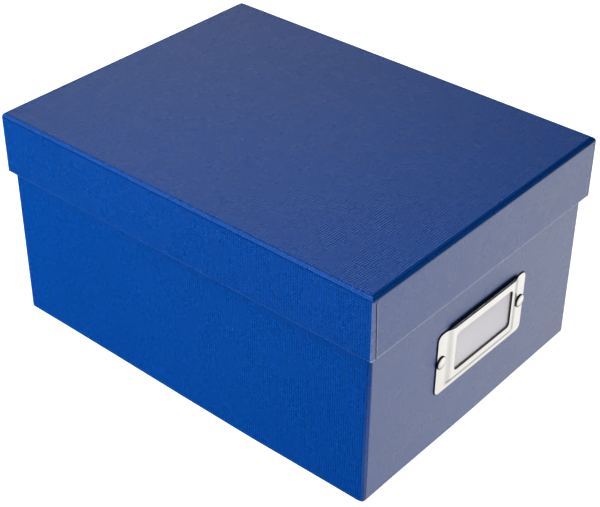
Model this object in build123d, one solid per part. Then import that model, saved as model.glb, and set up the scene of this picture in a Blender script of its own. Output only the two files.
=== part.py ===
from build123d import *
import math
import os

os.makedirs("parts", exist_ok=True)

# Rigid paper-covered storage box with a telescoping lift-off lid and a riveted label holder.
# Millimetres. X is the width, Y the length, Z up. The origin is the middle of the underside.
# The end with the label holder faces -Y.

# ---------------------------------------------------------------- driving dimensions
length = 285.0          # outside of the lid, along Y
width = 212.5           # outside of the lid, along X
height = 145.0          # underside to the top of the closed lid
skirt = 40.6            # height of the lid's side
base_width = 206.4      # outside of the base
base_length = 277.1

board = 2.0             # greyboard
wrap = 0.3              # embossed covering paper
liner = 0.3             # lining paper
stay = 0.15             # gummed corner stay
turn_in = 18.0          # covering paper turned in over each rim
turn_under = 15.0       # covering paper turned under the base
sheet_inset = 3.2       # bottom sheet stands in from the base's sides

lid_round = 2.3         # outer rounding of the lid's edges
base_round = 3.6        # outer rounding of the base's upright corners
base_bottom_round = 2.6 # outer rounding of the base's lower edges
stay_leg = 18.0         # a stay's reach from the corner, each way

# label holder, on the -Y end of the base; u runs to the right, w up, d outwards
holder_x = 2.8          # middle of the plate
holder_z = 58.5
holder_tilt = 0.8       # degrees; the left end sits a little higher
plate_w = 87.2
plate_h = 42.6
plate_t = 0.6
plate_corner = 4.0
raise_d = 1.7           # clear depth behind the raised middle
raised_w = 70.4         # raised middle, at the foot of its slopes
raised_foot = 3.3       # plain flange below the raised middle
raised_slope = 3.0      # run of the slope from the flange up to the raised middle
window_w = 56.0
window_h = 26.4
window_up = 2.7         # middle of the window above the middle of the plate
window_corner = 2.6
card_w = 67.0
card_h = 37.0
card_t = 0.35
card_gap = 0.05         # card to the paper behind it

rivet_spacing = 79.2
rivet_up = 1.4          # above the middle of the plate
rivet_head_d = 8.4
rivet_head_h = 1.5
rivet_post_d = 3.0
rivet_hole_d = 3.2
rivet_back_d = 7.0
rivet_back_h = 1.3
rivet_back_bore = 3.04
rivet_post_in = 0.6     # how far the post goes into the inner cap

# ---------------------------------------------------------------- derived levels
z_sheet_top = wrap                    # bottom sheet lies on 0 .. z_sheet_top
z_board_low = z_sheet_top + wrap      # underside of the base board
z_lid_under = height - wrap - board - liner
z_rim = z_lid_under                   # the lid rests on the base's rim
z_board_rim = z_rim - wrap
z_floor = z_board_low + board
z_skirt = height - skirt
z_lid_board_low = z_skirt + wrap
z_lid_board_top = height - wrap
z_lid_board_under = z_lid_board_top - board


def block(x, y, z0, z1):
    """A plain block centred on the Z axis."""
    return Pos(0, 0, (z0 + z1) / 2) * Box(x, y, z1 - z0)


def upright(x, y, z0, z1, r):
    """A block with rounded upright corners."""
    b = block(x, y, z0, z1)
    return fillet(b.edges().filter_by(Axis.Z), r)


def crowned(x, y, z0, z1, r):
    """A block with rounded upright corners and rounded upper edges."""
    b = block(x, y, z0, z1)
    edges = b.edges().filter_by(Axis.Z) + b.edges().group_by(Axis.Z)[-1]
    return fillet(edges, r)


def footed(x, y, z0, z1, r, r_low):
    """A block with rounded upright corners and rounded lower edges."""
    b = upright(x, y, z0, z1, r)
    return fillet(b.edges().group_by(Axis.Z)[0], r_low)


def save(shape, name):
    solids = shape.solids()
    export_step(solids[0] if len(solids) == 1 else Compound(children=list(solids)), f"parts/{name}.step")
    print(f"{name}: {len(solids)} solid(s)")


# ---------------------------------------------------------------- placing on the -Y end
face_y = -base_length / 2


def on_end(shape):
    """Local u, w, d (X, Y, Z) to the tilted place on the -Y end: d points outwards."""
    # local X -> +X, local Y -> +Z, local Z -> -Y
    place = Pos(holder_x, face_y, holder_z) * Rot(0, holder_tilt, 0) * Rot(90, 0, 0)
    return place * shape


def disc(u, w, d0, d1, dia):
    return Pos(u, w, (d0 + d1) / 2) * Cylinder(dia / 2, d1 - d0)


rivet_u = (-rivet_spacing / 2, rivet_spacing / 2)
wall_in = wrap + board + liner        # the end wall's whole thickness

rivet_holes = [on_end(disc(u, rivet_up, -wall_in - 1, 1, rivet_hole_d)) for u in rivet_u]

# ---------------------------------------------------------------- base
b_in_w = base_width - 2 * wrap - 2 * board     # inside of the board
b_in_l = base_length - 2 * wrap - 2 * board
b_clear_w = b_in_w - 2 * liner                 # inside of the lining
b_clear_l = b_in_l - 2 * liner

base_outer = footed(base_width, base_length, z_sheet_top, z_rim, base_round, base_bottom_round)
base_core = footed(
    base_width - 2 * wrap, base_length - 2 * wrap, z_board_low, z_board_rim,
    base_round - wrap, base_bottom_round - wrap,
)

base_board = base_core - block(b_in_w, b_in_l, z_floor, z_rim + 1)
for h in rivet_holes:
    base_board -= h


def corner_blocks(x, y, z0, z1, leg):
    """The four corner regions, each leg wide and deep, keyed by name."""
    out = {}
    for name, sx, sy in (
        ("front_left", -1, -1), ("front_right", 1, -1), ("back_left", -1, 1), ("back_right", 1, 1),
    ):
        out[name] = Pos(sx * (x / 2 - leg / 2 + 1), sy * (y / 2 - leg / 2 + 1), (z0 + z1) / 2) * Box(
            leg + 2, leg + 2, z1 - z0
        )
    return out


base_stay_ring = upright(
    base_width - 2 * wrap + 2 * stay, base_length - 2 * wrap + 2 * stay, z_floor + 1, z_board_rim - 1,
    base_round - wrap + stay,
) - base_core
base_stays = {
    name: base_stay_ring & b
    for name, b in corner_blocks(base_width - 2 * wrap, base_length - 2 * wrap, 0, height, stay_leg).items()
}

base_wrap = base_outer - base_core
base_wrap -= block(base_width - 2 * turn_under, base_length - 2 * turn_under, 0, z_board_low + 0.001)
base_wrap -= block(b_clear_w, b_clear_l, z_board_rim - 0.001, z_rim + 1)
base_wrap += block(b_in_w, b_in_l, z_board_rim - turn_in, z_board_rim) - block(
    b_clear_w, b_clear_l, z_board_rim - turn_in - 1, z_board_rim + 1
)
for s in base_stays.values():
    base_wrap -= s
for h in rivet_holes:
    base_wrap -= h

base_liner = block(b_in_w, b_in_l, z_floor, z_board_rim - turn_in) - block(
    b_clear_w, b_clear_l, z_floor + liner, z_rim
)
for h in rivet_holes:
    base_liner -= h

# The bottom sheet covers the turned-under edges and fills the panel between them.
base_bottom_sheet = upright(
    base_width - 2 * sheet_inset, base_length - 2 * sheet_inset, 0, z_sheet_top, 1.0
) + block(base_width - 2 * turn_under, base_length - 2 * turn_under, 0, z_board_low)

# ---------------------------------------------------------------- lid
l_in_w = width - 2 * wrap - 2 * board
l_in_l = length - 2 * wrap - 2 * board
l_clear_w = l_in_w - 2 * liner
l_clear_l = l_in_l - 2 * liner

lid_outer = crowned(width, length, z_skirt, height, lid_round)
lid_core = crowned(width - 2 * wrap, length - 2 * wrap, z_lid_board_low, z_lid_board_top, lid_round - wrap)

lid_board = lid_core - block(l_in_w, l_in_l, z_skirt - 1, z_lid_board_under)

lid_stay_ring = upright(
    width - 2 * wrap + 2 * stay, length - 2 * wrap + 2 * stay, z_lid_board_low + 0.5, height - 3.0,
    lid_round - wrap + stay,
) - lid_core
lid_stays = {
    name: lid_stay_ring & b
    for name, b in corner_blocks(width - 2 * wrap, length - 2 * wrap, 0, height, stay_leg).items()
}

lid_wrap = lid_outer - lid_core
lid_wrap -= block(l_clear_w, l_clear_l, z_skirt - 1, z_lid_board_low + 0.001)
lid_wrap += block(l_in_w, l_in_l, z_lid_board_low, z_lid_board_low + turn_in) - block(
    l_clear_w, l_clear_l, z_skirt, z_lid_board_low + turn_in + 1
)
for s in lid_stays.values():
    lid_wrap -= s

lid_liner = block(l_in_w, l_in_l, z_lid_board_low + turn_in, z_lid_board_under) - block(
    l_clear_w, l_clear_l, z_skirt, z_lid_board_under - liner
)

# ---------------------------------------------------------------- label holder
half_w, half_h = plate_w / 2, plate_h / 2
front_d = raise_d + plate_t            # outer face of the raised middle


def panel(u0, u1, w0, w1, d0, d1):
    return Pos((u0 + u1) / 2, (w0 + w1) / 2, (d0 + d1) / 2) * Box(u1 - u0, w1 - w0, d1 - d0)


flange = panel(-half_w, half_w, -half_h, half_h, 0, plate_t)
flange = fillet(flange.edges().filter_by(Axis.Z), plate_corner)

# The raised middle is open at the top; its sides and foot slope back to the flange.
ru, rw = raised_w / 2, -half_h + raised_foot
slope = raised_slope
raised = loft(
    [
        Plane.XY.offset(plate_t - 0.1) * Pos(0, (rw + half_h) / 2) * Rectangle(2 * ru, half_h - rw),
        Plane.XY.offset(front_d)
        * Pos(0, (rw + slope + half_h) / 2)
        * Rectangle(2 * (ru - slope), half_h - rw - slope),
    ]
)
skin = 0.15                           # keeps the sheet's thickness on the slopes
channel = loft(
    [
        Pos(0, (rw + skin + half_h + 1) / 2) * Rectangle(2 * (ru - skin), half_h + 1 - rw - skin),
        Plane.XY.offset(raise_d)
        * Pos(0, (rw + skin + slope + half_h + 1) / 2)
        * Rectangle(2 * (ru - skin - slope), half_h + 1 - rw - skin - slope),
    ]
)
opening = panel(-window_w / 2, window_w / 2, window_up - window_h / 2, window_up + window_h / 2, -1, front_d + 1)
opening = fillet(opening.edges().filter_by(Axis.Z), window_corner)

frame_local = flange + raised - channel - opening
for u in rivet_u:
    frame_local -= disc(u, rivet_up, -1, front_d + 1, rivet_hole_d)
label_holder_frame = on_end(frame_local)

# The card stands on the channel's foot and lies close to the paper behind it.
card_low = rw + 1.0
card_local = panel(-card_w / 2, card_w / 2, card_low, card_low + card_h, card_gap, card_gap + card_t)
label_card = on_end(card_local)


def dome(dia, h):
    """A low dome on the plane Z = 0."""
    r = dia / 2
    ball = (r * r + h * h) / (2 * h)
    cap = Pos(0, 0, h - ball) * Sphere(ball)
    return cap & (Pos(0, 0, h / 2) * Box(2 * dia, 2 * dia, h))


def rivet(u):
    rim = 0.35
    head = disc(0, 0, 0, rim, rivet_head_d) + Pos(0, 0, rim) * dome(rivet_head_d, rivet_head_h - rim)
    post = disc(0, 0, -(plate_t + wall_in + rivet_post_in), 0, rivet_post_d)
    return Pos(u, rivet_up, plate_t) * (head + post)


def rivet_back(u):
    cap = Rot(180, 0, 0) * dome(rivet_back_d, rivet_back_h)
    cap -= disc(0, 0, -(rivet_post_in + 0.05), 1, rivet_back_bore)
    return Pos(u, rivet_up, -wall_in) * cap


rivets = [on_end(rivet(u)) for u in rivet_u]
backs = [on_end(rivet_back(u)) for u in rivet_u]

# ---------------------------------------------------------------- write
save(base_board, "base_board")
save(base_wrap, "base_wrap")
save(base_liner, "base_liner")
save(base_bottom_sheet, "base_bottom_sheet")
for name, s in base_stays.items():
    save(s, f"base_corner_stay_{name}")
save(lid_board, "lid_board")
save(lid_wrap, "lid_wrap")
save(lid_liner, "lid_liner")
for name, s in lid_stays.items():
    save(s, f"lid_corner_stay_{name}")
save(label_holder_frame, "label_holder_frame")
save(label_card, "label_card")
save(Compound(children=[r.solids()[0] for r in rivets]), "label_holder_rivets")
save(Compound(children=[b.solids()[0] for b in backs]), "label_rivet_backs")

tilt = math.radians(holder_tilt)
print("card slide axis:", (round(math.sin(tilt), 6), 0, round(math.cos(tilt), 6)))
print("base rim:", z_rim, " lid rim:", z_skirt, " gap X:", (l_clear_w - base_width) / 2, " gap Y:", (l_clear_l - base_length) / 2)
print("inside of the base:", b_clear_w, b_clear_l, z_floor + liner)
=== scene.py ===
import math
import random

import bpy
import numpy as np
from mathutils import Matrix, Vector
from mathutils.geometry import delaunay_2d_cdt


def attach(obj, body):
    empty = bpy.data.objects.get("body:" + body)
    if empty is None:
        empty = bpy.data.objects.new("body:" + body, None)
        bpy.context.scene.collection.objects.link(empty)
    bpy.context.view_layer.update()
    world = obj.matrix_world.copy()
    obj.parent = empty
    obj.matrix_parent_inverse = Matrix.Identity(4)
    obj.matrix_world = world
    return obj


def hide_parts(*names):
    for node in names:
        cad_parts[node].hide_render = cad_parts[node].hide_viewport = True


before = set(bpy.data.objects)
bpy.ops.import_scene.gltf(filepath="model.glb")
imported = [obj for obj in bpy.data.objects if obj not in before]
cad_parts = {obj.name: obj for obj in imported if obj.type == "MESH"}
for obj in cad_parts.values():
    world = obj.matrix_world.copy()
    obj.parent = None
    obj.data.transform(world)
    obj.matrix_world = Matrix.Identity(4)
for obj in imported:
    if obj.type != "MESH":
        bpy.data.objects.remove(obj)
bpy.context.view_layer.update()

random.seed(7)
MM = 0.001

# ------------------------------------------------------------------ dimensions (mm)
# The same driving dimensions as the CAD model.
LENGTH, WIDTH, HEIGHT, SKIRT = 285.0, 212.5, 145.0, 40.6
BASE_W, BASE_L = 206.4, 277.1
BOARD, WRAP, LINER = 2.0, 0.3, 0.3
TURN_IN, TURN_UNDER = 18.0, 15.0
Z_SKIRT = HEIGHT - SKIRT
Z_RIM = HEIGHT - WRAP - BOARD - LINER
Z_LOW = WRAP                       # underside of the turned-under paper
FACE_Y = -BASE_L / 2

HOLDER_X, HOLDER_Z, HOLDER_TILT = 2.8, 58.5, math.radians(0.8)
PLATE_W, PLATE_H, PLATE_T, PLATE_R = 87.2, 42.6, 0.6, 4.0
RAISE = 1.7
WIN_W, WIN_H, WIN_UP, WIN_R = 56.0, 26.4, 2.7, 2.6
CARD_W, CARD_H, CARD_T, CARD_LOW = 67.0, 37.0, 0.35, -17.0
RIVET_U, RIVET_W = 39.6, 1.4
WALL_IN = WRAP + BOARD + LINER


# ------------------------------------------------------------------ mesh helpers
def smooth(t):
    t = np.clip(t, 0.0, 1.0)
    return t * t * (3 - 2 * t)


def make_object(name, verts, faces, uvs=None, attrs=None, sharp=35.0):
    """A mesh object in metres from millimetre points. uvs holds one (u, v) per face corner."""
    me = bpy.data.meshes.new(name)
    me.from_pydata([tuple(c * MM for c in v) for v in verts], [], faces)
    if uvs is not None:
        layer = me.uv_layers.new(name="sheet")
        flat = np.asarray([c for f in uvs for c in f], dtype=np.float32).reshape(-1)
        layer.data.foreach_set("uv", flat)
    for key, values in (attrs or {}).items():
        at = me.attributes.new(key, "FLOAT", "POINT")
        at.data.foreach_set("value", np.asarray(values, dtype=np.float32))
    me.validate()
    me.update()
    me.shade_smooth()
    me.set_sharp_from_angle(angle=math.radians(sharp))
    ob = bpy.data.objects.new(name, me)
    bpy.context.scene.collection.objects.link(ob)
    return ob


def corner_arc(a, b, sx, sy, shape, n, from_side):
    """Points round one upright corner, from the long side to the end or back.

    shape is (leg on the side, leg on the end, angle of the surface where it leaves the side, and where it meets
    the end), the angles in degrees, 0 facing like the side and 90 like the end.
    """
    cs, ce, p0, p1 = shape
    t0 = np.array([math.sin(math.radians(p0)), math.cos(math.radians(p0))])
    t1 = np.array([math.sin(math.radians(p1)), math.cos(math.radians(p1))])
    # distances in from the corner: (from the side's face, from the end's face)
    e1, e2 = np.array([0.0, cs]), np.array([ce, 0.0])
    m = np.array([[t0[0], t1[0]], [t0[1], t1[1]]])
    s_, _ = np.linalg.solve(m, np.array([ce, cs]))
    ctrl = e1 + s_ * np.array([t0[0], -t0[1]])
    pts = []
    for i in range(n + 1):
        t = i / n
        q = (1 - t) ** 2 * e1 + 2 * t * (1 - t) * ctrl + t * t * e2
        pts.append(np.array([sx * (a - q[0]), sy * (b - q[1])]))
    return pts if from_side else pts[::-1]


def arc_length(pts):
    return sum(float(np.linalg.norm(q - p)) for p, q in zip(pts, pts[1:]))


ARC_N = 8
SIDE_MID = 24
END_MID = 20


def ring_points(a, b, corners, seams, step, lip, core):
    """One closed ring, counter-clockwise from above, from the front-left corner.

    Returns rows of (x, y, kind, along, dark, core): kind 0 belongs to a long side's sheet,
    1 to an end's; along is the sheet's own coordinate across the side (y run on round the corner).
    """
    rows = []
    order = [(-1, -1), (1, -1), (1, 1), (-1, 1)]
    arcs = [corner_arc(a, b, order[k][0], order[k][1], corners[k], ARC_N, True) for k in range(4)]
    lens = [arc_length(p) for p in arcs]

    def strip(corner, towards_end):
        """The part of an end between a corner's arc and its seam; distances from the corner."""
        c = corners[corner][1]
        s = max(seams[corner], c + 0.08)
        k = min(1.0, (s - c) / 1.2)
        out = [
            (c, 0, 0.0, 0.0, 0.0),
            (s - 0.66 * k, 0, -step * 0.7, 0.0, 0.0),
            (s - 0.52 * k, 0, -step, 1.0, 0.0),
            (s - 0.03, 0, -step, 1.0, 0.0),
            (s + 0.03, 1, lip, 0.0, core),
            (s + 0.34, 1, lip * 0.7, 0.0, core * 0.55),
            (s + 0.75, 1, lip * 0.3, 0.0, 0.0),
            (s + 1.6, 1, 0.0, 0.0, 0.0),
        ]
        return out if towards_end else out[::-1]

    def arc_rows(corner, from_side):
        sx, sy = order[corner]
        pts = arcs[corner]
        runs = [0.0]
        for p, q in zip(pts, pts[1:]):
            runs.append(runs[-1] + float(np.linalg.norm(q - p)))
        seq = list(zip(pts, runs))
        for p, run in (seq if from_side else seq[::-1]):
            rows.append((p[0], p[1], 0, sy * (b - corners[corner][0] + run), 0.0, 0.0))

    def end_rows(left, right, sy):
        """Columns along an end, from corner `left` to corner `right` in ring order."""
        sx0 = order[left][0]
        first = strip(left, True)
        last = strip(right, False)

        def along(corner, dist):
            return sy * (b - corners[corner][0] + lens[corner] + dist - corners[corner][1])

        for dist, kind, off, dark, co in first[1:]:
            x = sx0 * (a - dist)
            rows.append((x, sy * (b + off), kind, along(left, dist), dark, co))
        x0 = sx0 * (a - first[-1][0])
        x1 = -sx0 * (a - last[0][0])
        for i in range(1, END_MID):
            rows.append((x0 + (x1 - x0) * i / END_MID, sy * b, 1, 0.0, 0.0, 0.0))
        for dist, kind, off, dark, co in last[:-1]:
            x = -sx0 * (a - dist)
            rows.append((x, sy * (b + off), kind, along(right, dist), dark, co))

    def side_rows(sx, first, last):
        """Columns along a long side between two corners' arcs."""
        y0 = order[first][1] * (b - corners[first][0])
        y1 = order[last][1] * (b - corners[last][0])
        marks = [0.6, 2.5]
        d = 1 if y1 > y0 else -1
        ys = [y0 + d * m for m in marks]
        ys += [y0 + d * 2.5 + (y1 - y0 - d * 5.0) * i / SIDE_MID for i in range(1, SIDE_MID)]
        ys += [y1 - d * m for m in marks[::-1]]
        for y in ys:
            rows.append((sx * a, y, 0, y, 0.0, 0.0))

    arc_rows(0, True)
    end_rows(0, 1, -1)
    arc_rows(1, False)
    side_rows(1, 1, 2)
    arc_rows(2, True)
    end_rows(2, 3, 1)
    arc_rows(3, False)
    side_rows(-1, 3, 0)
    return rows


def even(c):
    """Four alike, evenly rounded corners."""
    return [(c, c, 0.0, 90.0)] * 4


def sweep(name, rings, closed, move=None, cap_first=False, cap_last=False, sharp=35.0):
    """Joins rings into one skin. Each ring is a dict; move shifts a point (x, y, z, ring)."""
    table, verts, dark, core, wear, burn, quiet = [], [], [], [], [], [], []
    for k, r in enumerate(rings):
        rows = ring_points(r["a"], r["b"], r["c"], r["seams"], r.get("step", 0.0), r.get("lip", 0.0),
                           r.get("core", 0.0))
        table.append(rows)
        for x, y, kind, along, dk, co in rows:
            z = r["z"]
            # rims and corners are painted pale, the ends' more than the long sides': partly rubbed wear, partly a
            # painted highlight
            on_an_end = abs(y) > r["b"] - 0.6
            near_corner = math.exp(-((r["a"] - abs(x)) / 4.0) ** 2) if on_an_end else 0.0
            at_corner = r["a"] - abs(x) < r["c"][0][1] - 0.1 and r["b"] - abs(y) < r["c"][0][0] - 0.1
            pale = r.get("rim", 0.0) * (0.62 + 0.38 * near_corner if on_an_end else 0.03)
            if at_corner:
                pale = max(pale, r.get("rubbed", 0.0))
            # painted shade over the top edges; negative values paint them lighter instead, a painted highlight
            end_shading_paint, side_shading_paint = r.get("burn", (0.0, 0.0))
            if on_an_end:
                shading_level = end_shading_paint if y < 0 else 0.3 * end_shading_paint
            elif abs(x) > r["a"] - 0.6:
                shading_level = side_shading_paint if x < 0 else 0.3 * end_shading_paint
            else:
                shading_level = 0.0
            still = min(0.96, 2.1 * max(0.0, shading_level))
            # painted highlight: on the base's front-left corner the tone is painted lighter and its sheen is taken off
            if at_corner and x < 0 and y < 0 and r.get("hush"):
                shading_level, still = -0.22, r["hush"]
            burn.append(shading_level)
            quiet.append(still)
            if move:
                x, y, z = move(x, y, z, r)
            verts.append((x, y, z))
            dark.append(dk * r.get("dark", 0.0))
            core.append(max(co, pale))
            wear.append(r.get("wear", 0.0))
    n = len(table[0])
    a0, b0 = rings[0]["a0"], rings[0]["b0"]

    def uv(k, j, kind):
        x, y, _, along, _, _ = table[k][j]
        d = rings[k]["d"]
        if kind == 0:
            return (math.copysign(a0 + d, x), along)
        return (x, math.copysign(b0 + d, y))

    faces, uvs = [], []
    count = len(rings)
    for k in range(count if closed else count - 1):
        k2 = (k + 1) % count
        wrap_round = closed and k2 == 0
        for j in range(n):
            j2 = (j + 1) % n
            kind = 1 if (table[k][j][2] == 1 or table[k][j2][2] == 1) else 0
            faces.append((k * n + j, k2 * n + j, k2 * n + j2, k * n + j2))
            if wrap_round:
                d_keep = rings[k2]["d"]
                rings[k2]["d"] = rings[k]["d"] + rings[k].get("gap", 1.0)
            uvs.append([uv(k, j, kind), uv(k2, j, kind), uv(k2, j2, kind), uv(k, j2, kind)])
            if wrap_round:
                rings[k2]["d"] = d_keep
    if cap_first:
        faces.append(tuple(range(n)))
        uvs.append([(verts[j][0], verts[j][1]) for j in range(n)])
    if cap_last:
        base = (count - 1) * n
        faces.append(tuple(base + j for j in range(n))[::-1])
        uvs.append([(verts[base + j][0], verts[base + j][1]) for j in range(n)][::-1])
    return make_object(name, verts, faces, uvs,
                       {"dark": dark, "core": core, "wear": wear, "burn": burn, "quiet": quiet}, sharp)


def run_lengths(rings):
    """Adds the running length down the profile to each ring."""
    d = 0.0
    for k, r in enumerate(rings):
        if k:
            p = rings[k - 1]
            d += math.hypot(r["a"] - p["a"], r["z"] - p["z"])
        r["d"] = d
    return rings


# ------------------------------------------------------------------ lid: covering paper
A, B = WIDTH / 2, LENGTH / 2
TOP_R = 2.3
LID_C = 1.2
RIM_R = 0.55


def lid_seams(z):
    """How far each end's paper stops short of the corner: front-left, front-right, back-right, back-left."""
    t = (139.6 - z) / 35.0
    base = 2.9 + 1.25 * t
    hook = 2.6 * float(smooth((z - 140.6) / 2.6))
    return [base + hook, 3.4 + 0.5 * t + hook * 0.9, 3.1 + 0.9 * t + hook, 3.6 + 0.3 * t + hook * 0.8]


def lid_ring(inset, z, c, outer, wear=0.0, extra=None):
    r = {"a": A - inset, "b": B - inset, "z": z, "c": even(c), "seams": lid_seams(z), "wear": wear,
         "inset": inset, "outer": outer}
    if outer:
        fade = float(smooth((143.2 - z) / 1.6)) * float(smooth((z - Z_SKIRT) / 0.5))
        r["step"], r["lip"], r["core"], r["dark"] = 0.09 * fade, 0.10 * fade, 0.8 * fade, fade
        # the corners beside the seams are painted a little pale: partly rubbing, partly a painted highlight
        r["rubbed"] = 0.22 * fade
    if extra:
        r.update(extra)
    return r


def build_lid_wrap():
    rings = []
    top = HEIGHT
    # the rings round the top edges carry painted shading: positive values darken, negative ones lighten
    for inset, shading_level in ((9.0, 0.0), (3.0, 0.0), (2.0, -0.10), (1.4, 0.0), (0.8, 0.34)):
        rings.append(lid_ring(TOP_R + inset, top, 0.12, True, extra={"burn": (shading_level, 0.0)}))
    for i in range(11):
        th = math.radians(9 * i)
        rings.append(lid_ring(TOP_R * (1 - math.sin(th)), top - TOP_R * (1 - math.cos(th)),
                              0.12 + (LID_C - 0.12) * math.sin(th), True,
                              extra={"burn": ((0.46, 0.47, 0.48, 0.46, 0.46, 0.46, 0.44, 0.42, 0.40, 0.32, 0.12)[i],
                                              (0.0, 0.0, 0.0, 0.0, -0.05, -0.10, -0.10, -0.05, 0.15, 0.34, 0.36)[i])}))
    for z in (142.3, 141.9, 141.5, 141.0, 140.4, 139.6, 137.5, 134.0, 129.0, 124.0, 119.0, 114.0, 110.0, 107.5,
              106.2, 105.5):
        rings.append(lid_ring(0.0, z, LID_C, True,
                              extra={"burn": (0.0, 0.30 if z > 142.0 else 0.12 if z > 141.6 else 0.0)}))
    # the lower rim is painted pale and scuffed: partly rubbed wear, partly a painted highlight
    for up, rim in ((0.62, 0.0), (0.40, 0.7), (0.10, 1.0)):
        rings.append(lid_ring(0.0, Z_SKIRT + RIM_R + up, LID_C, True, extra={"rim": rim}))
    for i in range(7):
        th = math.radians(15 * i)
        rings.append(lid_ring(RIM_R * (1 - math.cos(th)), Z_SKIRT + RIM_R * (1 - math.sin(th)),
                              max(0.3, LID_C - RIM_R * (1 - math.cos(th))), True,
                              wear=(0.0, 0.75, 1.0, 1.0, 0.8, 0.4, 0.2)[i],
                              extra={"rim": (1.0, 1.0, 0.9, 0.6, 0.3, 0.1, 0.0)[i]}))
    wall = WRAP + BOARD + LINER
    for inset in (RIM_R + 0.3, wall - RIM_R - 0.3):
        rings.append(lid_ring(inset, Z_SKIRT, 0.5, False, wear=0.1))
    for i in range(7):
        th = math.radians(15 * i)
        rings.append(lid_ring(wall - RIM_R * (1 - math.sin(th)), Z_SKIRT + RIM_R * (1 - math.cos(th)), 0.4, False,
                              wear=(0.1, 0.2, 0.5, 0.6, 0.5, 0.2, 0.0)[i]))
    z_end = Z_SKIRT + WRAP + TURN_IN
    for z in (106.0, 110.0, 116.0, z_end - 0.6, z_end - 0.08):
        rings.append(lid_ring(wall, z, 0.3, False))
    rings.append(lid_ring(wall - 0.06, z_end, 0.3, False, wear=0.8))
    rings.append(lid_ring(wall - LINER, z_end, 0.3, False, wear=0.8))
    for z in (110.0, Z_SKIRT + WRAP + 0.02):
        rings.append(lid_ring(wall - LINER, z, 0.3, False))
    rings.append(lid_ring(wall - LINER - 0.02, Z_SKIRT + WRAP, 0.3, False))
    rings.append(lid_ring(WRAP + 0.02, Z_SKIRT + WRAP, 0.8, False))
    rings.append(lid_ring(WRAP, Z_SKIRT + WRAP + 0.02, 0.9, False))
    rings.append(lid_ring(WRAP, top - TOP_R, 0.9, False))
    for i in range(1, 6):
        th = math.radians(18 * i)
        r = TOP_R - WRAP
        rings.append(lid_ring(WRAP + r * (1 - math.cos(th)), top - TOP_R + r * math.sin(th),
                              0.1 + 0.8 * math.cos(th), False))
    rings.append(lid_ring(TOP_R + 9.0, top - WRAP, 0.1, False))
    for r in rings:
        r["a0"], r["b0"] = A - TOP_R, B - TOP_R
    run_lengths(rings)
    start = rings[5]["d"]
    for r in rings:
        r["d"] -= start

    def move(x, y, z, r):
        if not r["outer"]:
            return x, y, z
        # the four top corners are pressed in a little more than the edges between them
        q = Vector((abs(x) - A, abs(y) - B, z - HEIGHT))
        near = q.length / 6.5
        if near < 1.0:
            push = 0.22 * (1 - near) ** 2
            x -= math.copysign(push, x) * 0.8
            y -= math.copysign(push, y)
            z -= push
        return x, y, z

    return sweep("lid_cover_paper", rings, False, move, cap_first=True, cap_last=True)


# ------------------------------------------------------------------ base: covering paper
BA, BB = BASE_W / 2, BASE_L / 2
FOOT_R = 1.5


# The base's front-left corner is rounded near the rim and flattens into a bevel lower down; the others are tighter.
CORNER_Z = (0.0, 5.0, 20.0, 40.0, 60.0, 80.0, 92.0, 104.0, 142.4)
CORNER_SIDE = (1.55, 1.55, 1.6, 1.65, 1.65, 1.65, 1.65, 1.65, 1.6)
CORNER_END = (2.3, 2.4, 2.9, 3.1, 3.3, 3.6, 3.7, 3.4, 2.6)
CORNER_FROM = (46.0, 46.0, 46.0, 44.0, 40.0, 34.0, 28.0, 24.0, 14.0)
CORNER_TO = (68.0, 68.0, 68.0, 70.0, 74.0, 77.0, 78.0, 78.0, 72.0)


def base_corners(z, shrink=0.0, only=None):
    cs, ce, p0, p1 = (float(np.interp(z, CORNER_Z, t)) for t in (CORNER_SIDE, CORNER_END, CORNER_FROM, CORNER_TO))
    out = []
    for k, size in enumerate((1.0, 0.42, 0.55, 0.26)):
        a, b = max(0.12, cs * size - shrink), max(0.14, ce * size - shrink)
        mid = math.degrees(math.atan2(b, a))
        out.append((a, b, min(p0, mid - 6), max(p1, mid + 6)))
    return out


def base_ring(inset, z, c, outer, wear=0.0, **extra):
    """c is the corner's leg, or None for the corners that change with height."""
    corners = base_corners(z, 0.55 * inset) if c is None else even(max(c, 0.1))
    r = {"a": BA - inset, "b": BB - inset, "z": z, "c": corners, "seams": [k[1] + 0.1 for k in corners],
         "wear": wear, "inset": inset, "outer": outer}
    if outer:
        r["step"], r["lip"], r["core"], r["dark"] = 0.03, 0.02, 0.0, 0.0
        r["hush"] = float(np.interp(z, (0.0, 30.0, 60.0, 90.0), (0.05, 0.2, 0.55, 0.85)))
    r.update(extra)
    return r


BOW_Y = (-138.6, -115.0, -95.0, -55.0, 0.0, 60.0, 100.0, 138.6)
BOW_LEFT = (0.0, 0.2, 0.45, 1.0, 0.78, 0.25, 0.0, 0.0)


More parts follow.
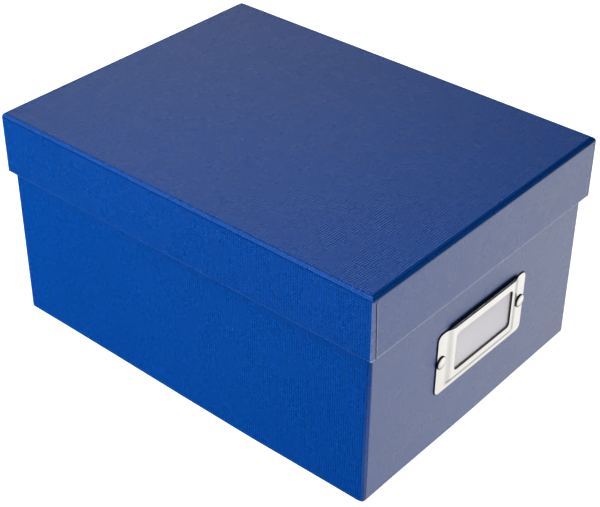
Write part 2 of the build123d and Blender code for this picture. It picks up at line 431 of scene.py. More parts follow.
def build_base_wrap():
    rings = []
    rr = 0.5
    wall = WRAP + BOARD + LINER
    # over the rim, from the inside to the outside
    for i in range(1, 7):
        th = math.radians(15 * i)
        rings.append(base_ring(rr * (1 - math.sin(th)) if i < 6 else 0.0, Z_RIM - rr * (1 - math.cos(th)),
                               None, True, wear=(0.2, 0.4, 0.5, 0.5, 0.3, 0.0)[i - 1]))
    for z in (141.2, 136.0, 128.0, 118.0, 110.0, 104.0, 96.0, 86.0, 76.0, 66.0, 56.0, 46.0, 36.0, 27.0, 19.0, 14.0,
              10.0, 7.0, 5.0, 3.4, 2.3):
        rings.append(base_ring(0.0, z, None, True))
    for i in range(9):
        th = math.radians(11.25 * i)
        rings.append(base_ring(FOOT_R * (1 - math.cos(th)), Z_LOW + FOOT_R * (1 - math.sin(th)), None, True,
                               wear=0.35 * math.sin(2 * th) ** 2, turn=th))
    for inset in (FOOT_R + 0.6, FOOT_R + 4.0, TURN_UNDER - 0.1):
        rings.append(base_ring(inset, Z_LOW, 1.2, False))
    rings.append(base_ring(TURN_UNDER, Z_LOW + 0.05, 1.0, False, wear=0.8))
    rings.append(base_ring(TURN_UNDER, Z_LOW + WRAP, 1.0, False, wear=0.8))
    rings.append(base_ring(FOOT_R, Z_LOW + WRAP, 2.0, False))
    for i in range(5):
        th = math.radians(18 * (i + 1))
        r = FOOT_R - WRAP
        rings.append(base_ring(WRAP + r * (1 - math.sin(th)), Z_LOW + WRAP + r * (1 - math.cos(th)), 2.1, False))
    for z in (36.0, 104.0, Z_RIM - WRAP - 0.02):
        rings.append(base_ring(WRAP, z, None, False))
    rings.append(base_ring(WRAP + 0.02, Z_RIM - WRAP, None, False))
    rings.append(base_ring(WRAP + BOARD - 0.02, Z_RIM - WRAP, 0.25, False))
    z_end = Z_RIM - WRAP - TURN_IN
    rings.append(base_ring(WRAP + BOARD, Z_RIM - WRAP - 0.02, 0.25, False))
    rings.append(base_ring(WRAP + BOARD, z_end, 0.25, False, wear=0.8))
    rings.append(base_ring(wall - 0.06, z_end, 0.25, False, wear=0.8))
    for z in (z_end + 0.08, z_end + 0.6, 130.0, 136.0, 140.0):
        rings.append(base_ring(wall, z, 0.25, False))
    for i in range(7):
        th = math.radians(15 * i)
        rings.append(base_ring(wall - rr * (1 - math.cos(th)), Z_RIM - rr + rr * math.sin(th), 0.3, False,
                               wear=(0.0, 0.3, 0.5, 0.5, 0.4, 0.3, 0.2)[i]))
    for r in rings:
        r["a0"], r["b0"] = BA, BB
    run_lengths(rings)
    rings[-1]["gap"] = abs(rings[0]["a"] - rings[-1]["a"])

    def move(x, y, z, r):
        if r["inset"] > 2.0 and z > 2.0:
            return x, y, z
        # the walls bow out a little towards the bottom
        low = max(0.0, 1 - z / 125.0)
        if abs(y) < BB - 1.0 and abs(x) > BA - 16:
            swell = float(np.interp(y, BOW_Y, BOW_LEFT)) if x < 0 else 0.5 * math.cos(math.pi * y / BASE_L)
            x += math.copysign(swell * low, x)
        if abs(x) < BA - 1.0 and abs(y) > BB - 16:
            swell = 0.38 * math.exp(-((x - 2) / 42.0) ** 2) if y < 0 else 0.4 * math.cos(math.pi * x / BASE_W)
            y += math.copysign(swell * max(0.0, 1 - z / 34.0) ** 1.5, y)
        # the lower edge of the front is more rounded towards the front-left corner
        if r["outer"] and y < -BB + 4 and z < 5.0:
            extra = 1.1 * math.exp(-((x + BA) / 48.0) ** 2)
            if "turn" in r:
                y += extra * (1 - math.cos(r["turn"]))
                z += extra * (1 - math.sin(r["turn"]))
            elif z > Z_LOW + FOOT_R:
                z += extra * float(smooth((5.0 - z) / 3.2))
        return x, y, z

    return sweep("base_cover_paper", rings, True, move)


# ------------------------------------------------------------------ label holder
def on_end(u, w, d):
    """Local u (right), w (up), d (outwards) on the -Y end, in the row frame, in mm."""
    ct, st = math.cos(HOLDER_TILT), math.sin(HOLDER_TILT)
    return (HOLDER_X + ct * u + st * w, FACE_Y - d, HOLDER_Z - st * u + ct * w)


def rounded_rect(cu, cw, hw, hh, r, n=10):
    pts = []
    for qx, qy, a0 in ((1, 1, 0), (-1, 1, 90), (-1, -1, 180), (1, -1, 270)):
        for i in range(n + 1):
            al = math.radians(a0 + 90 * i / n)
            pts.append((cu + qx * (hw - r) + r * math.cos(al), cw + qy * (hh - r) + r * math.sin(al)))
    return pts


def split_long(pts, gap):
    out = []
    for i, p in enumerate(pts):
        q = pts[(i + 1) % len(pts)]
        out.append(p)
        n = int(math.hypot(q[0] - p[0], q[1] - p[1]) / gap)
        for k in range(1, n + 1):
            t = k / (n + 1)
            out.append((p[0] + (q[0] - p[0]) * t, p[1] + (q[1] - p[1]) * t))
    return out


def plate_rise(u, w):
    """How far the sheet is pressed forward at (u, w): a soft S from the flange to the raised middle."""
    su = float(smooth((36.6 - abs(u)) / 7.0))
    sw = float(smooth((w + 18.6) / 4.2))
    return RAISE * su * sw


def build_plate():
    """The stamped frame as one closed sheet with rolled edges."""
    hw, hh = PLATE_W / 2, PLATE_H / 2
    roll = 0.26
    dist = [0.0, 0.035, 0.09, 0.16, roll, 0.5]
    pts, edges, near = [], [], []

    def add_loop(loop, t):
        first = len(pts)
        for p in loop:
            pts.append(p)
            near.append(t)
        for i in range(len(loop)):
            edges.append((first + i, first + (i + 1) % len(loop)))
        return list(range(first, len(pts)))

    outer_loop = inner_loop = None
    for t in dist:
        loop = add_loop(split_long(rounded_rect(0, 0, hw - t, hh - t, PLATE_R - t, 12), 1.3), t)
        if t == 0:
            outer_loop = loop
    for t in dist:
        loop = add_loop(split_long(rounded_rect(0, WIN_UP, WIN_W / 2 + t, WIN_H / 2 + t, WIN_R + t, 10), 1.3), t)
        if t == 0:
            inner_loop = loop
    holes = []
    for u in (-RIVET_U, RIVET_U):
        for t in (0.0, 0.3):
            loop = [(u + (1.6 + t) * math.cos(math.tau * i / 24), RIVET_W + (1.6 + t) * math.sin(math.tau * i / 24))
                    for i in range(24)]
            ids = add_loop(loop, roll + 1)
            if t == 0:
                holes.append(ids)
    us = sorted(set([round(-43.0 + 1.25 * i, 3) for i in range(70)] + [s * (30.4 + 0.35 * i) for i in range(17)
                                                                      for s in (-1, 1)]))
    ws = sorted(set([round(-20.6 + 1.25 * i, 3) for i in range(34)] + [-18.6 + 0.32 * i for i in range(14)]))

    def inside_rect(u, w, cu, cw, hw_, hh_, r):
        qx, qy = abs(u - cu) - (hw_ - r), abs(w - cw) - (hh_ - r)
        return math.hypot(max(qx, 0), max(qy, 0)) + min(max(qx, qy), 0) - r

    for u in us:
        for w in ws:
            if inside_rect(u, w, 0, 0, hw, hh, PLATE_R) > -0.8:
                continue
            if inside_rect(u, w, 0, WIN_UP, WIN_W / 2, WIN_H / 2, WIN_R) < 0.8:
                continue
            if min(math.hypot(u - s * RIVET_U, w - RIVET_W) for s in (-1, 1)) < 2.3:
                continue
            pts.append((u, w))
            near.append(9.0)
    vs, es, fs, ov, oe, of_ = delaunay_2d_cdt([Vector(p) for p in pts], edges, [], 0, 1e-6)
    first_of = [o[0] if o else -1 for o in ov]
    tris = []
    for f in fs:
        cu = sum(vs[i][0] for i in f) / 3
        cw = sum(vs[i][1] for i in f) / 3
        if inside_rect(cu, cw, 0, 0, hw, hh, PLATE_R) > 0 or inside_rect(cu, cw, 0, WIN_UP, WIN_W / 2, WIN_H / 2, WIN_R) < 0:
            continue
        if min(math.hypot(cu - s * RIVET_U, cw - RIVET_W) for s in (-1, 1)) < 1.58:
            continue
        tris.append(tuple(f))
    n = len(vs)
    verts, shade_at = [], []

    def lowered(t):
        if t >= roll:
            return 0.0
        return roll * (1 - math.sqrt(max(0.0, 1 - (1 - t / roll) ** 2)))

    # a worn die leaves the raised middle very slightly crowned
    def crown(u, w):
        return 0.10 * math.cos(math.pi * min(abs(u), 31.0) / 62.0) * float(smooth((w + 15) / 30))

    for side in (1, 0):
        for i in range(n):
            u, w = vs[i][0], vs[i][1]
            t = near[first_of[i]]
            rise = plate_rise(u, w)
            rise += crown(u, w) * rise / RAISE
            if side:
                d = rise + PLATE_T - lowered(t)
            else:
                d = rise + 0.35 * lowered(t) + 0.004
            verts.append(on_end(u, w, d))
            # painted shade: the back is marked fully dark
            shade_at.append(float(np.interp(t, (0.0, 0.035, 0.09, 0.16, roll), (1.0, 1.0, 0.9, 0.5, 0.0))) if side else 1.0)
    used = sorted({i for t in tris for i in t})
    faces = [t for t in tris] + [tuple(n + i for i in t[::-1]) for t in tris]
    # orient: on_end maps (u, w) counter-clockwise to a face seen from -Y
    index = {first_of[i]: i for i in range(n) if first_of[i] >= 0}

    def wall(loop, flip):
        for i in range(len(loop)):
            p, q = index[loop[i]], index[loop[(i + 1) % len(loop)]]
            quad = (p, q, n + q, n + p)
            faces.append(quad[::-1] if flip else quad)

    wall(outer_loop, True)
    wall(inner_loop, False)
    for h in holes:
        wall(h, False)
    keep = {}
    new_verts, kept_shade = [], []
    for f in faces:
        for i in f:
            if i not in keep:
                keep[i] = len(new_verts)
                new_verts.append(verts[i])
                kept_shade.append(shade_at[i])
    faces = [tuple(keep[i] for i in f) for f in faces]
    return make_object("label_holder_plate", new_verts, faces, None, {"edge": kept_shade}, 38.0)


def lathe(profile, n, place):
    """Closed body of revolution about the outward axis; profile runs from tip to tip as (radius, d)."""
    verts, faces = [], []
    rows = []
    for r, d in profile:
        if r < 1e-6:
            rows.append([len(verts)])
            verts.append(place(0.0, 0.0, d))
        else:
            rows.append(list(range(len(verts), len(verts) + n)))
            for i in range(n):
                al = math.tau * i / n
                verts.append(place(r * math.cos(al), r * math.sin(al), d))
    for p, q in zip(rows, rows[1:]):
        for i in range(n):
            j = (i + 1) % n
            if len(p) == 1:
                faces.append((p[0], q[i], q[j]))
            elif len(q) == 1:
                faces.append((p[i], q[0], p[j]))
            else:
                faces.append((p[i], q[i], q[j], p[j]))
    return verts, faces


def build_rivets():
    verts, faces = [], []
    for u in (-RIVET_U, RIVET_U):
        profile = [(0.0, 1.5)]
        for i in range(1, 13):
            th = math.radians(90 * i / 12)
            r = 4.2 * math.sin(th)
            profile.append((r, 0.42 + 1.08 * math.cos(th) ** 1.15))
        profile += [(4.2, 0.3), (4.16, 0.14), (4.05, 0.03), (3.9, 0.0), (1.5, 0.0), (1.5, -WALL_IN - PLATE_T - 0.4),
                    (1.35, -WALL_IN - PLATE_T - 0.6), (0.0, -WALL_IN - PLATE_T - 0.6)]
        v, f = lathe(profile, 56, lambda x, y, d, u=u: on_end(u + x, RIVET_W + y, PLATE_T + d))
        faces += [tuple(i + len(verts) for i in t) for t in f]
        verts += v
    # painted shade round the foot of each dome, up to about 0.9 mm out from the plate
    foot_shade = [0.9 * float(smooth((0.9 - (FACE_Y - p[1] - PLATE_T)) / 0.35)) for p in verts]
    return make_object("label_holder_rivet_heads", verts, faces, None, {"edge": foot_shade}, 40.0)


def build_rivet_backs():
    verts, faces = [], []
    for u in (-RIVET_U, RIVET_U):
        profile = [(1.56, 0.62)]
        profile = [(1.56, -0.02), (1.56, 0.6), (0.0, 0.6)][::-1]
        # from the bottom of the post's socket, out over the seat, round the rim and over the dome
        profile = [(0.0, 0.66), (1.52, 0.66), (1.52, 0.0), (3.3, 0.0), (3.45, 0.05), (3.5, 0.18), (3.46, 0.32)]
        for i in range(1, 11):
            th = math.radians(90 * i / 10)
            profile.append((3.46 * math.cos(th), 0.32 + 0.98 * math.sin(th)))
        profile[-1] = (0.0, 1.3)
        v, f = lathe(profile, 48, lambda x, y, d, u=u: on_end(u + x, RIVET_W + y, -WALL_IN - d))
        faces += [tuple(i + len(verts) for i in t) for t in f]
        verts += v
    return make_object("label_rivet_inner_caps", verts, faces, None, {"edge": [0.0] * len(verts)}, 40.0)


def build_card():
    """A blank card with faintly rounded corners and a very slight bow."""
    hw, hh = CARD_W / 2, CARD_H / 2
    cw = CARD_LOW + hh
    loop = split_long(rounded_rect(0, cw, hw, hh, 0.6, 5), 2.5)
    inner = split_long(rounded_rect(0, cw, hw - 0.08, hh - 0.08, 0.52, 5), 2.5)
    pts = loop + inner
    edges = [(i, (i + 1) % len(loop)) for i in range(len(loop))]
    edges += [(len(loop) + i, len(loop) + (i + 1) % len(inner)) for i in range(len(inner))]
    for i in range(27):
        for j in range(15):
            pts.append((-hw + 2.2 + i * (CARD_W - 4.4) / 26, CARD_LOW + 2.0 + j * (CARD_H - 4.0) / 14))
    vs, es, fs, ov, oe, of_ = delaunay_2d_cdt([Vector(p) for p in pts], edges, [], 0, 1e-6)
    first_of = [o[0] if o else -1 for o in ov]
    n = len(vs)
    verts = []
    for side in (1, 0):
        for i in range(n):
            u, w = vs[i][0], vs[i][1]
            at_edge = first_of[i] < len(loop)
            bow = 0.05 + 0.12 * (1 - (u / hw) ** 2) * 0.5
            d = bow + (CARD_T - (0.04 if at_edge else 0)) * side + (0.04 if at_edge and not side else 0)
            verts.append(on_end(u, w, d))
    faces = [tuple(f) for f in fs] + [tuple(n + i for i in f[::-1]) for f in fs]
    index = {first_of[i]: i for i in range(n)}
    for i in range(len(loop)):
        p, q = index[i], index[(i + 1) % len(loop)]
        faces.append((p, n + p, n + q, q))
    return make_object("blank_label_card", verts, faces, None, None, 50.0)


def fix_normals(ob):
    """Makes a closed mesh's faces point outwards."""
    import bmesh
    bm = bmesh.new()
    bm.from_mesh(ob.data)
    bmesh.ops.recalc_face_normals(bm, faces=bm.faces)
    if bm.calc_volume(signed=True) < 0:
        bmesh.ops.reverse_faces(bm, faces=bm.faces)
    bm.to_mesh(ob.data)
    bm.free()


lid_paper = build_lid_wrap()
base_paper = build_base_wrap()
plate = build_plate()
rivets = build_rivets()
caps = build_rivet_backs()
card = build_card()
for ob in (lid_paper, base_paper, plate, rivets, caps, card):
    fix_normals(ob)

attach(lid_paper, "lid"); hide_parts("lid_wrap")
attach(base_paper, "base"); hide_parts("base_wrap")
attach(plate, "base"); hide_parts("label_holder_frame")
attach(rivets, "base"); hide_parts("label_holder_rivets")
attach(caps, "base"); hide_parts("label_rivet_backs")
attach(card, "card"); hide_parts("label_card")


# ------------------------------------------------------------------ materials
class Nodes:
    """Short forms for building a node tree."""

    def __init__(self, mat):
        mat.use_nodes = True
        self.t = mat.node_tree
        self.t.nodes.clear()

    def add(self, kind, **props):
        n = self.t.nodes.new(kind)
        inputs = props.pop("inputs", {})
        for k, v in props.items():
            setattr(n, k, v)
        for k, v in inputs.items():
            self.feed(n.inputs[k], v)
        return n

    def feed(self, socket, v):
        if isinstance(v, bpy.types.NodeSocket):
            self.t.links.new(v, socket)
        else:
            socket.default_value = v

    def math(self, op, a, b=None, c=None, clamp=False):
        n = self.t.nodes.new("ShaderNodeMath")
        n.operation = op
        n.use_clamp = clamp
        self.feed(n.inputs[0], a)
        if b is not None:
            self.feed(n.inputs[1], b)
        if c is not None:
            self.feed(n.inputs[2], c)
        return n.outputs[0]

    def mix(self, fac, a, b, blend="MIX"):
        n = self.t.nodes.new("ShaderNodeMix")
        n.data_type = "RGBA"
        n.blend_type = blend
        n.clamp_factor = True
        self.feed(n.inputs[0], fac)
        self.feed(n.inputs[6], a)
        self.feed(n.inputs[7], b)
        return n.outputs[2]

    def span(self, v, lo, hi, out_lo=0.0, out_hi=1.0):
        n = self.t.nodes.new("ShaderNodeMapRange")
        n.interpolation_type = "SMOOTHSTEP"
        self.feed(n.inputs[0], v)
        for i, x in enumerate((lo, hi, out_lo, out_hi)):
            n.inputs[i + 1].default_value = x
        return n.outputs[0]

    def noise(self, vector, scale, detail=2.0, rough=0.5):
        n = self.add("ShaderNodeTexNoise", inputs={"Vector": vector, "Scale": scale, "Detail": detail,
                                                   "Roughness": rough})
        return n.outputs[0]

    def scaled(self, vector, s):
        n = self.t.nodes.new("ShaderNodeVectorMath")
        n.operation = "MULTIPLY"
        self.feed(n.inputs[0], vector)
        n.inputs[1].default_value = s
        return n.outputs[0]

    def xyz(self, vector):
        n = self.add("ShaderNodeSeparateXYZ", inputs={"Vector": vector})
        return n.outputs

    def attr(self, name):
        return self.add("ShaderNodeAttribute", attribute_name=name).outputs["Fac"]

    def out(self, shader):
        o = self.add("ShaderNodeOutputMaterial")
        self.t.links.new(shader, o.inputs["Surface"])


PITCH = 1.6      # mm between the embossed threads


def cover_paper(name, flat_xy=False, depth=1.0, holder=False):
    """Royal-blue covering paper with a fine linen embossing, satin."""
    m = bpy.data.materials.new(name)
    n = Nodes(m)
    if flat_xy:
        tc = n.add("ShaderNodeTexCoord").outputs["Object"]
        sheet = n.scaled(tc, (1000.0, 1000.0, 1000.0))
    else:
        sheet = n.add("ShaderNodeUVMap", uv_map="sheet").outputs["UV"]
    # each thread wanders and swells a little along its length
    along_u = n.noise(n.scaled(sheet, (0.10, 0.55, 1.0)), 1.0, 1.0)
    along_v = n.noise(n.scaled(sheet, (0.55, 0.10, 1.0)), 1.0, 1.0)
    parts = n.xyz(sheet)
    pu = n.math("ADD", n.math("MULTIPLY", parts[0], math.pi / PITCH), n.math("MULTIPLY", along_v, 1.2))
    pv = n.math("ADD", n.math("MULTIPLY", parts[1], math.pi / PITCH), n.math("MULTIPLY", along_u, 1.2))
    tu = n.math("ABSOLUTE", n.math("SINE", pu))
    tv = n.math("ABSOLUTE", n.math("SINE", pv))
    grid = n.math("MULTIPLY", n.math("POWER", tu, 0.7), n.math("POWER", tv, 0.7))
    # thicker and thinner stretches of thread, in both directions
    slub_u = n.noise(n.scaled(sheet, (0.35, 1.10, 1.0)), 1.0, 2.0, 0.6)
    slub_v = n.noise(n.scaled(sheet, (1.10, 0.35, 1.0)), 1.0, 2.0, 0.6)
    slub = n.math("SUBTRACT", n.math("ADD", slub_u, slub_v), 1.0)
    knots = n.math("SUBTRACT", n.noise(sheet, 0.92, 1.0), 0.5)
    height = n.math("MULTIPLY", grid, n.math("ADD", n.math("MULTIPLY", slub, 1.1), 0.75))
    grain = n.noise(sheet, 5.0, 2.0)
    relief = n.math("ADD", height, n.math("ADD", n.math("MULTIPLY", grain, 0.12), n.math("MULTIPLY", knots, 0.55)))

    wear = n.attr("wear")
    core = n.attr("core")
    dark = n.attr("dark")

    broad = n.noise(n.scaled(sheet, (0.012, 0.012, 1.0)), 1.0, 3.0)
    tone = n.mix(broad, (0.0004, 0.040, 0.206, 1), (0.0006, 0.046, 0.228, 1))
    # ink lies thinner on the crowns of the threads and pools between them
    shade = n.math("ADD", n.math("MULTIPLY", grid, 1.10), 0.46)
    shade = n.math("MULTIPLY", shade, n.math("ADD", n.math("ADD", n.math("MULTIPLY", slub, 1.05),
                                                           n.math("MULTIPLY", knots, 0.80)), 1.0))
    # painted shade on the top edges' creases; negative values paint them lighter, a painted highlight
    burn = n.attr("burn")
    shade = n.math("MULTIPLY", shade, n.math("SUBTRACT", 1.0, burn))
    tone = n.mix(1.0, tone, shade, "MULTIPLY")
    # rubbed edges and the cut edge of the paper show paler; the same pale tones also paint a highlight along the lid's
    # lower rim and on its corners
    rub_noise = n.noise(n.scaled(sheet, (0.8, 0.8, 1.0)), 1.0, 3.0)
    scuff_highlight_amount = n.math("MULTIPLY", wear, n.span(rub_noise, 0.28, 0.62, 0.45, 1.0), clamp=True)
    tone = n.mix(n.math("MULTIPLY", scuff_highlight_amount, 0.80), tone, (0.015, 0.17, 0.50, 1))
    tone = n.mix(n.math("MULTIPLY", core, n.span(rub_noise, 0.25, 0.6, 0.6, 0.95)), tone, (0.55, 0.62, 0.76, 1))
    # a few specks of dust
    dust = n.add("ShaderNodeTexVoronoi", feature="F1", inputs={"Vector": sheet, "Scale": 0.085}).outputs["Distance"]
    speck = n.span(dust, 0.012, 0.022, 1.0, 0.0)
    tone = n.mix(n.math("MULTIPLY", speck, 0.45), tone, (0.45, 0.52, 0.62, 1))

    gloss = n.noise(n.scaled(sheet, (0.06, 0.06, 1.0)), 1.0, 2.0)
    rough = n.math("ADD", n.math("MULTIPLY", gloss, 0.07), 0.24)
    bump = n.add("ShaderNodeBump", inputs={"Strength": 1.0, "Distance": 0.00012 * depth, "Height": relief})
    p = n.add("ShaderNodeBsdfPrincipled", inputs={"Base Color": tone, "Roughness": rough, "IOR": 1.75,
                                                  "Specular IOR Level": 0.5, "Normal": bump.outputs[0]})
    # painted shadow: the gaps beside the seams, and the paper down in the label holder's slot, are mixed towards a dull
    # near-black
    gap = n.math("MULTIPLY", dark, 0.92)
    if holder:
        at = n.xyz(n.add("ShaderNodeTexCoord").outputs["Object"])
        st, ct = math.sin(HOLDER_TILT), math.cos(HOLDER_TILT)
        dx = n.math("SUBTRACT", n.math("MULTIPLY", at[0], 1000.0), HOLDER_X)
        dz = n.math("SUBTRACT", n.math("MULTIPLY", at[2], 1000.0), HOLDER_Z)
        across = n.math("SUBTRACT", n.math("MULTIPLY", dx, ct), n.math("MULTIPLY", dz, st))
        u = n.math("ABSOLUTE", across)
        w = n.math("ADD", n.math("MULTIPLY", dx, st), n.math("MULTIPLY", dz, ct))
        # a painted shadow line on the paper against the plate's left and upper edges
        ex = n.math("SUBTRACT", n.math("ABSOLUTE", n.math("ADD", across, 0.45)), PLATE_W / 2 - PLATE_R)
        ey = n.math("SUBTRACT", n.math("ABSOLUTE", n.math("SUBTRACT", w, 0.45)), PLATE_H / 2 - PLATE_R)
        ex, ey = n.math("MAXIMUM", ex, 0.0), n.math("MAXIMUM", ey, 0.0)
        away = n.math("SUBTRACT", n.math("SQRT", n.math("ADD", n.math("MULTIPLY", ex, ex),
                                                        n.math("MULTIPLY", ey, ey))), PLATE_R)
        outline_shadow = n.math("MULTIPLY", n.span(away, 0.1, 0.8, 0.88, 0.0), n.span(at[1], -0.1375, -0.1370, 1.0, 0.0))
        outline_shadow = n.math("MULTIPLY", outline_shadow, n.span(away, -1.8, -0.9, 0.0, 1.0))
        gap = n.math("MAXIMUM", gap, outline_shadow)
        # a painted shadow on the paper down in the slot above the window
        recess_shadow = n.math("MULTIPLY", n.span(w, 22.6, 25.8, 1.0, 0.0), n.span(w, 16.5, 18.0, 0.0, 1.0))
        recess_shadow = n.math("MULTIPLY", recess_shadow, n.span(u, 31.5, 36.5, 1.0, 0.0))
        recess_shadow = n.math("MULTIPLY", recess_shadow, n.span(at[1], -0.1375, -0.1370, 1.0, 0.0))
        gap = n.math("MAXIMUM", gap, n.math("MULTIPLY", recess_shadow, 0.94))
    # stretching over an edge takes the sheet's shine off
    matt = n.add("ShaderNodeBsdfDiffuse", inputs={"Color": tone, "Normal": bump.outputs[0]})
    bent = n.add("ShaderNodeMixShader", inputs={0: n.attr("quiet"), 1: p.outputs[0], 2: matt.outputs[0]})
    shade_black = n.add("ShaderNodeBsdfDiffuse", inputs={"Color": (0.0006, 0.0025, 0.010, 1)})
    both = n.add("ShaderNodeMixShader", inputs={0: gap, 1: bent.outputs[0], 2: shade_black.outputs[0]})
    n.out(both.outputs[0])
    return m


def nickel(name):
    m = bpy.data.materials.new(name)
    n = Nodes(m)
    tc = n.scaled(n.add("ShaderNodeTexCoord").outputs["Object"], (1000.0, 1000.0, 1000.0))
    scratch = n.noise(n.scaled(tc, (0.25, 1.0, 5.0)), 1.0, 3.0)
    cloud = n.noise(tc, 0.12, 3.0)
    pits = n.noise(tc, 2.2, 2.0)
    edge = n.attr("edge")
    tone = n.mix(cloud, (0.54, 0.52, 0.50, 1), (0.61, 0.595, 0.575, 1))
    # painted shade: the tone is darkened at the marked edges and back
    tone = n.mix(edge, tone, (0.010, 0.010, 0.012, 1))
    rough = n.math("ADD", n.math("MULTIPLY", cloud, 0.08), 0.17)
    rough = n.math("ADD", rough, n.math("MULTIPLY", scratch, 0.06))
    height = n.math("ADD", n.math("MULTIPLY", scratch, 0.5), n.math("MULTIPLY", pits, 0.5))
    bump = n.add("ShaderNodeBump", inputs={"Strength": 0.12, "Distance": 0.00004, "Height": height})
    p = n.add("ShaderNodeBsdfPrincipled", inputs={"Base Color": tone, "Roughness": rough, "Metallic": 1.0,
                                                  "Normal": bump.outputs[0]})
    # painted shade: the sheared edges and the back are mixed to a dull near-black
    shade_black = n.add("ShaderNodeBsdfDiffuse", inputs={"Color": (0.004, 0.005, 0.008, 1)})
    both = n.add("ShaderNodeMixShader", inputs={0: n.math("MULTIPLY", edge, 0.96), 1: p.outputs[0], 2: shade_black.outputs[0]})
    n.out(both.outputs[0])
    return m


def plain_paper(name, low, high, rough_low, rough_high, fibre=0.35, relief=0.00004):
    """Smooth paper or board: cloudy tone, short fibres, faint tooth."""
    m = bpy.data.materials.new(name)
    n = Nodes(m)
    tc = n.scaled(n.add("ShaderNodeTexCoord").outputs["Object"], (1000.0, 1000.0, 1000.0))
    cloud = n.noise(tc, 0.05, 4.0)
    tooth = n.noise(tc, 3.0, 3.0, 0.6)
    hairs = n.noise(n.scaled(tc, (1.2, 0.5, 1.7)), 1.0, 4.0, 0.7)
    tone = n.mix(cloud, low, high)
    tone = n.mix(n.math("MULTIPLY", n.span(hairs, 0.55, 0.8), fibre), tone, tuple(c * 0.8 for c in low[:3]) + (1,))
    rough = n.math("ADD", n.math("MULTIPLY", tooth, rough_high - rough_low), rough_low)
    bump = n.add("ShaderNodeBump", inputs={"Strength": 0.3, "Distance": relief, "Height": tooth})
    p = n.add("ShaderNodeBsdfPrincipled", inputs={"Base Color": tone, "Roughness": rough, "Normal": bump.outputs[0]})
    n.out(p.outputs[0])
    return m


blue = cover_paper("cover_paper_linen_lid", depth=1.5)
blue_base = cover_paper("cover_paper_linen_base", depth=1.0, holder=True)
blue_flat = cover_paper("cover_paper_linen_flat", True)
metal = nickel("nickel_plate_bright")
lining = plain_paper("lining_paper_white", (0.72, 0.71, 0.67, 1), (0.80, 0.79, 0.76, 1), 0.7, 0.85)
greyboard = plain_paper("greyboard_grey", (0.30, 0.28, 0.25, 1), (0.42, 0.40, 0.36, 1), 0.8, 0.95, 0.6, 0.00012)
tape = plain_paper("stay_paper_brown", (0.40, 0.27, 0.15, 1), (0.52, 0.37, 0.22, 1), 0.6, 0.8, 0.5)
card_stock = plain_paper("label_card_white", (0.90, 0.89, 0.91, 1), (0.95, 0.94, 0.96, 1), 0.5, 0.65, 0.12, 0.00002)


def dress(ob, mat):
    me = ob.data
    if len(me.materials):
        for i in range(len(me.materials)):
            me.materials[i] = mat
    else:
        me.materials.append(mat)


dress(lid_paper, blue)
dress(base_paper, blue_base)
for ob in (plate, rivets, caps):
    dress(ob, metal)
dress(card, card_stock)
for name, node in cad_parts.items():
    if name in ("base_wrap", "lid_wrap", "label_holder_frame", "label_holder_rivets", "label_rivet_backs",
                "label_card"):
        continue
    if name == "base_bottom_sheet":
        dress(node, blue_flat)
    elif "stay" in name:
        dress(node, tape)
    elif "liner" in name:
        dress(node, lining)
    else:
        dress(node, greyboard)

# ------------------------------------------------------------------ floor
# Strengths of the studio's light: (direction, narrowness, strength), (place, aim, size, watts)
GLOSS = [((0.45, -0.75, -0.48), 6.0, 1.50), ((0.85, -0.30, -0.42), 6.0, 0.38), ((0.93, -0.25, -0.30), 8.0, 0.80),
         ((0.75, 0.62, 0.22), 40.0, 0.58), ((0.60, 0.76, 0.22), 40.0, 0.64), ((0.45, 0.87, 0.20), 40.0, 0.24),
         ((-0.56, 0.53, 0.64), 10.0, 0.26)]
GLOSS_REST = 0.0
SKY = 0.15
GLOW = 0.25
KEYS = [((-0.70, 0.45, 0.35), (-0.10, 0.10, 0.06), 0.5, 2.9, (1.0, 1.15, 0.85)),
        ((-0.95, 0.55, 0.02), (-0.10, 0.10, 0.04), 0.4, 9.2, (0.80, 0.85, 1.0)),
        ((-0.90, 0.15, 0.12), (-0.10, 0.05, 0.06), 0.5, 3.8, (0.68, 0.72, 1.0)),
        ((-0.30, -0.15, 0.65), (-0.08, -0.05, 0.14), 0.4, 3.45, (1.0, 0.96, 1.0)),
        ((0.15, 0.35, 0.75), (0.0, 0.0, 0.10), 0.6, 0.8),
        ((-0.15, -0.65, 0.12), (-0.05, -0.14, 0.06), 0.3, 1.6, (1.0, 0.985, 1.01))]

me = bpy.data.meshes.new("studio_floor")
me.from_pydata([(-6, -6, 0), (6, -6, 0), (6, 6, 0), (-6, 6, 0)], [], [(0, 1, 2, 3)])
floor = bpy.data.objects.new("studio_floor", me)
bpy.context.scene.collection.objects.link(floor)
fm = bpy.data.materials.new("studio_floor_pale")
fn = Nodes(fm)
seen = fn.add("ShaderNodeLightPath").outputs["Is Camera Ray"]
fn.out(fn.add("ShaderNodeBsdfPrincipled", inputs={"Base Color": (0.6, 0.6, 0.6, 1), "Roughness": 0.9,
                                                  "Specular IOR Level": 0.1, "Emission Color": (1, 1, 1, 1),
                                                  "Emission Strength": fn.math("MULTIPLY", seen, 1.0)
                                                  }).outputs[0])
me.materials.append(fm)
# the light that a pale floor throws up comes from a wide lamp under it instead
floor.visible_glossy = False
floor.visible_diffuse = False
floor.visible_shadow = False

# ------------------------------------------------------------------ light
world = bpy.data.worlds.new("studio")
bpy.context.scene.world = world
wn = Nodes(world)
path = wn.add("ShaderNodeLightPath")
direction = wn.add("ShaderNodeTexCoord").outputs["Generated"]


def lobe(to, power, strength):
    v = Vector(to).normalized()
    dot = wn.t.nodes.new("ShaderNodeVectorMath")
    dot.operation = "DOT_PRODUCT"
    wn.feed(dot.inputs[0], direction)
    dot.inputs[1].default_value = v
    c = wn.math("MAXIMUM", dot.outputs["Value"], 0.0)
    return wn.math("MULTIPLY", wn.math("POWER", c, power), strength)


def total(parts, floor_level):
    s = floor_level
    for p in parts:
        s = wn.math("ADD", p, s)
    return s


# what gloss sees: a bright low front right, a paler back, dark elsewhere
gloss_light = total([lobe(*g) for g in GLOSS], GLOSS_REST)
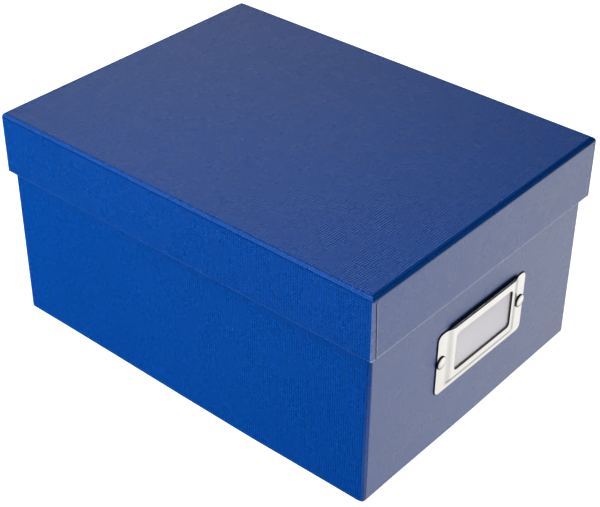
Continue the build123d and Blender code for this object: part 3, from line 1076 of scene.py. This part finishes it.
# what matt surfaces see: a soft sky, even above the horizon
up = wn.xyz(direction)[2]
matt_light = wn.span(up, -0.02, 0.22, 0.0, SKY)
world.cycles.sampling_method = "NONE"
level = wn.math("ADD", wn.math("MULTIPLY", path.outputs["Is Glossy Ray"], gloss_light),
                wn.math("MULTIPLY", wn.math("SUBTRACT", 1.0, path.outputs["Is Glossy Ray"]), matt_light))
level = wn.math("ADD", wn.math("MULTIPLY", path.outputs["Is Camera Ray"], 1.1),
                wn.math("MULTIPLY", wn.math("SUBTRACT", 1.0, path.outputs["Is Camera Ray"]), level))
bg = wn.add("ShaderNodeBackground", inputs={"Color": (1, 1, 1, 1), "Strength": level})
wo = wn.add("ShaderNodeOutputWorld")
wn.t.links.new(bg.outputs[0], wo.inputs["Surface"])


def area(name, at, look, size, power, color=(1, 1, 1), glossy=False):
    d = bpy.data.lights.new(name, "AREA")
    d.shape = "SQUARE"
    d.size = size
    d.energy = power
    d.color = color
    ob = bpy.data.objects.new(name, d)
    ob.location = at
    ob.rotation_euler = (Vector(at) - Vector(look)).to_track_quat("Z", "Y").to_euler()
    ob.visible_glossy = glossy
    ob.visible_camera = False
    bpy.context.scene.collection.objects.link(ob)
    return ob


for i, k in enumerate(KEYS):
    area("key_%d" % i, *k)
area("under", (0.0, 0.0, -0.35), (0.0, 0.0, 0.0), 2.4, 12.0 * GLOW)

# ------------------------------------------------------------------ camera
cam_data = bpy.data.cameras.new("photo_camera")
cam_data.sensor_fit = "HORIZONTAL"
cam_data.sensor_width = 36.0
cam_data.lens = 83.7419284
cam_data.shift_x = -0.0344167
cam_data.shift_y = -0.03125
cam_data.clip_start = 0.01
cam = bpy.data.objects.new("photo_camera", cam_data)
rot = Matrix(((0.6433718151, 0.4212401388, -0.6392413104),
              (-0.7654341847, 0.3687187806, -0.5274058872),
              (0.0135357474, 0.8286152342, 0.5596548733)))
cam.matrix_world = Matrix.Translation((-0.54843, -0.472599, 0.555281)) @ rot.to_4x4()
bpy.context.scene.collection.objects.link(cam)
bpy.context.scene.camera = cam

view = bpy.context.scene.view_settings
view.view_transform = "Standard"
view.look = "None"
view.exposure = 0.0
view.gamma = 1.0
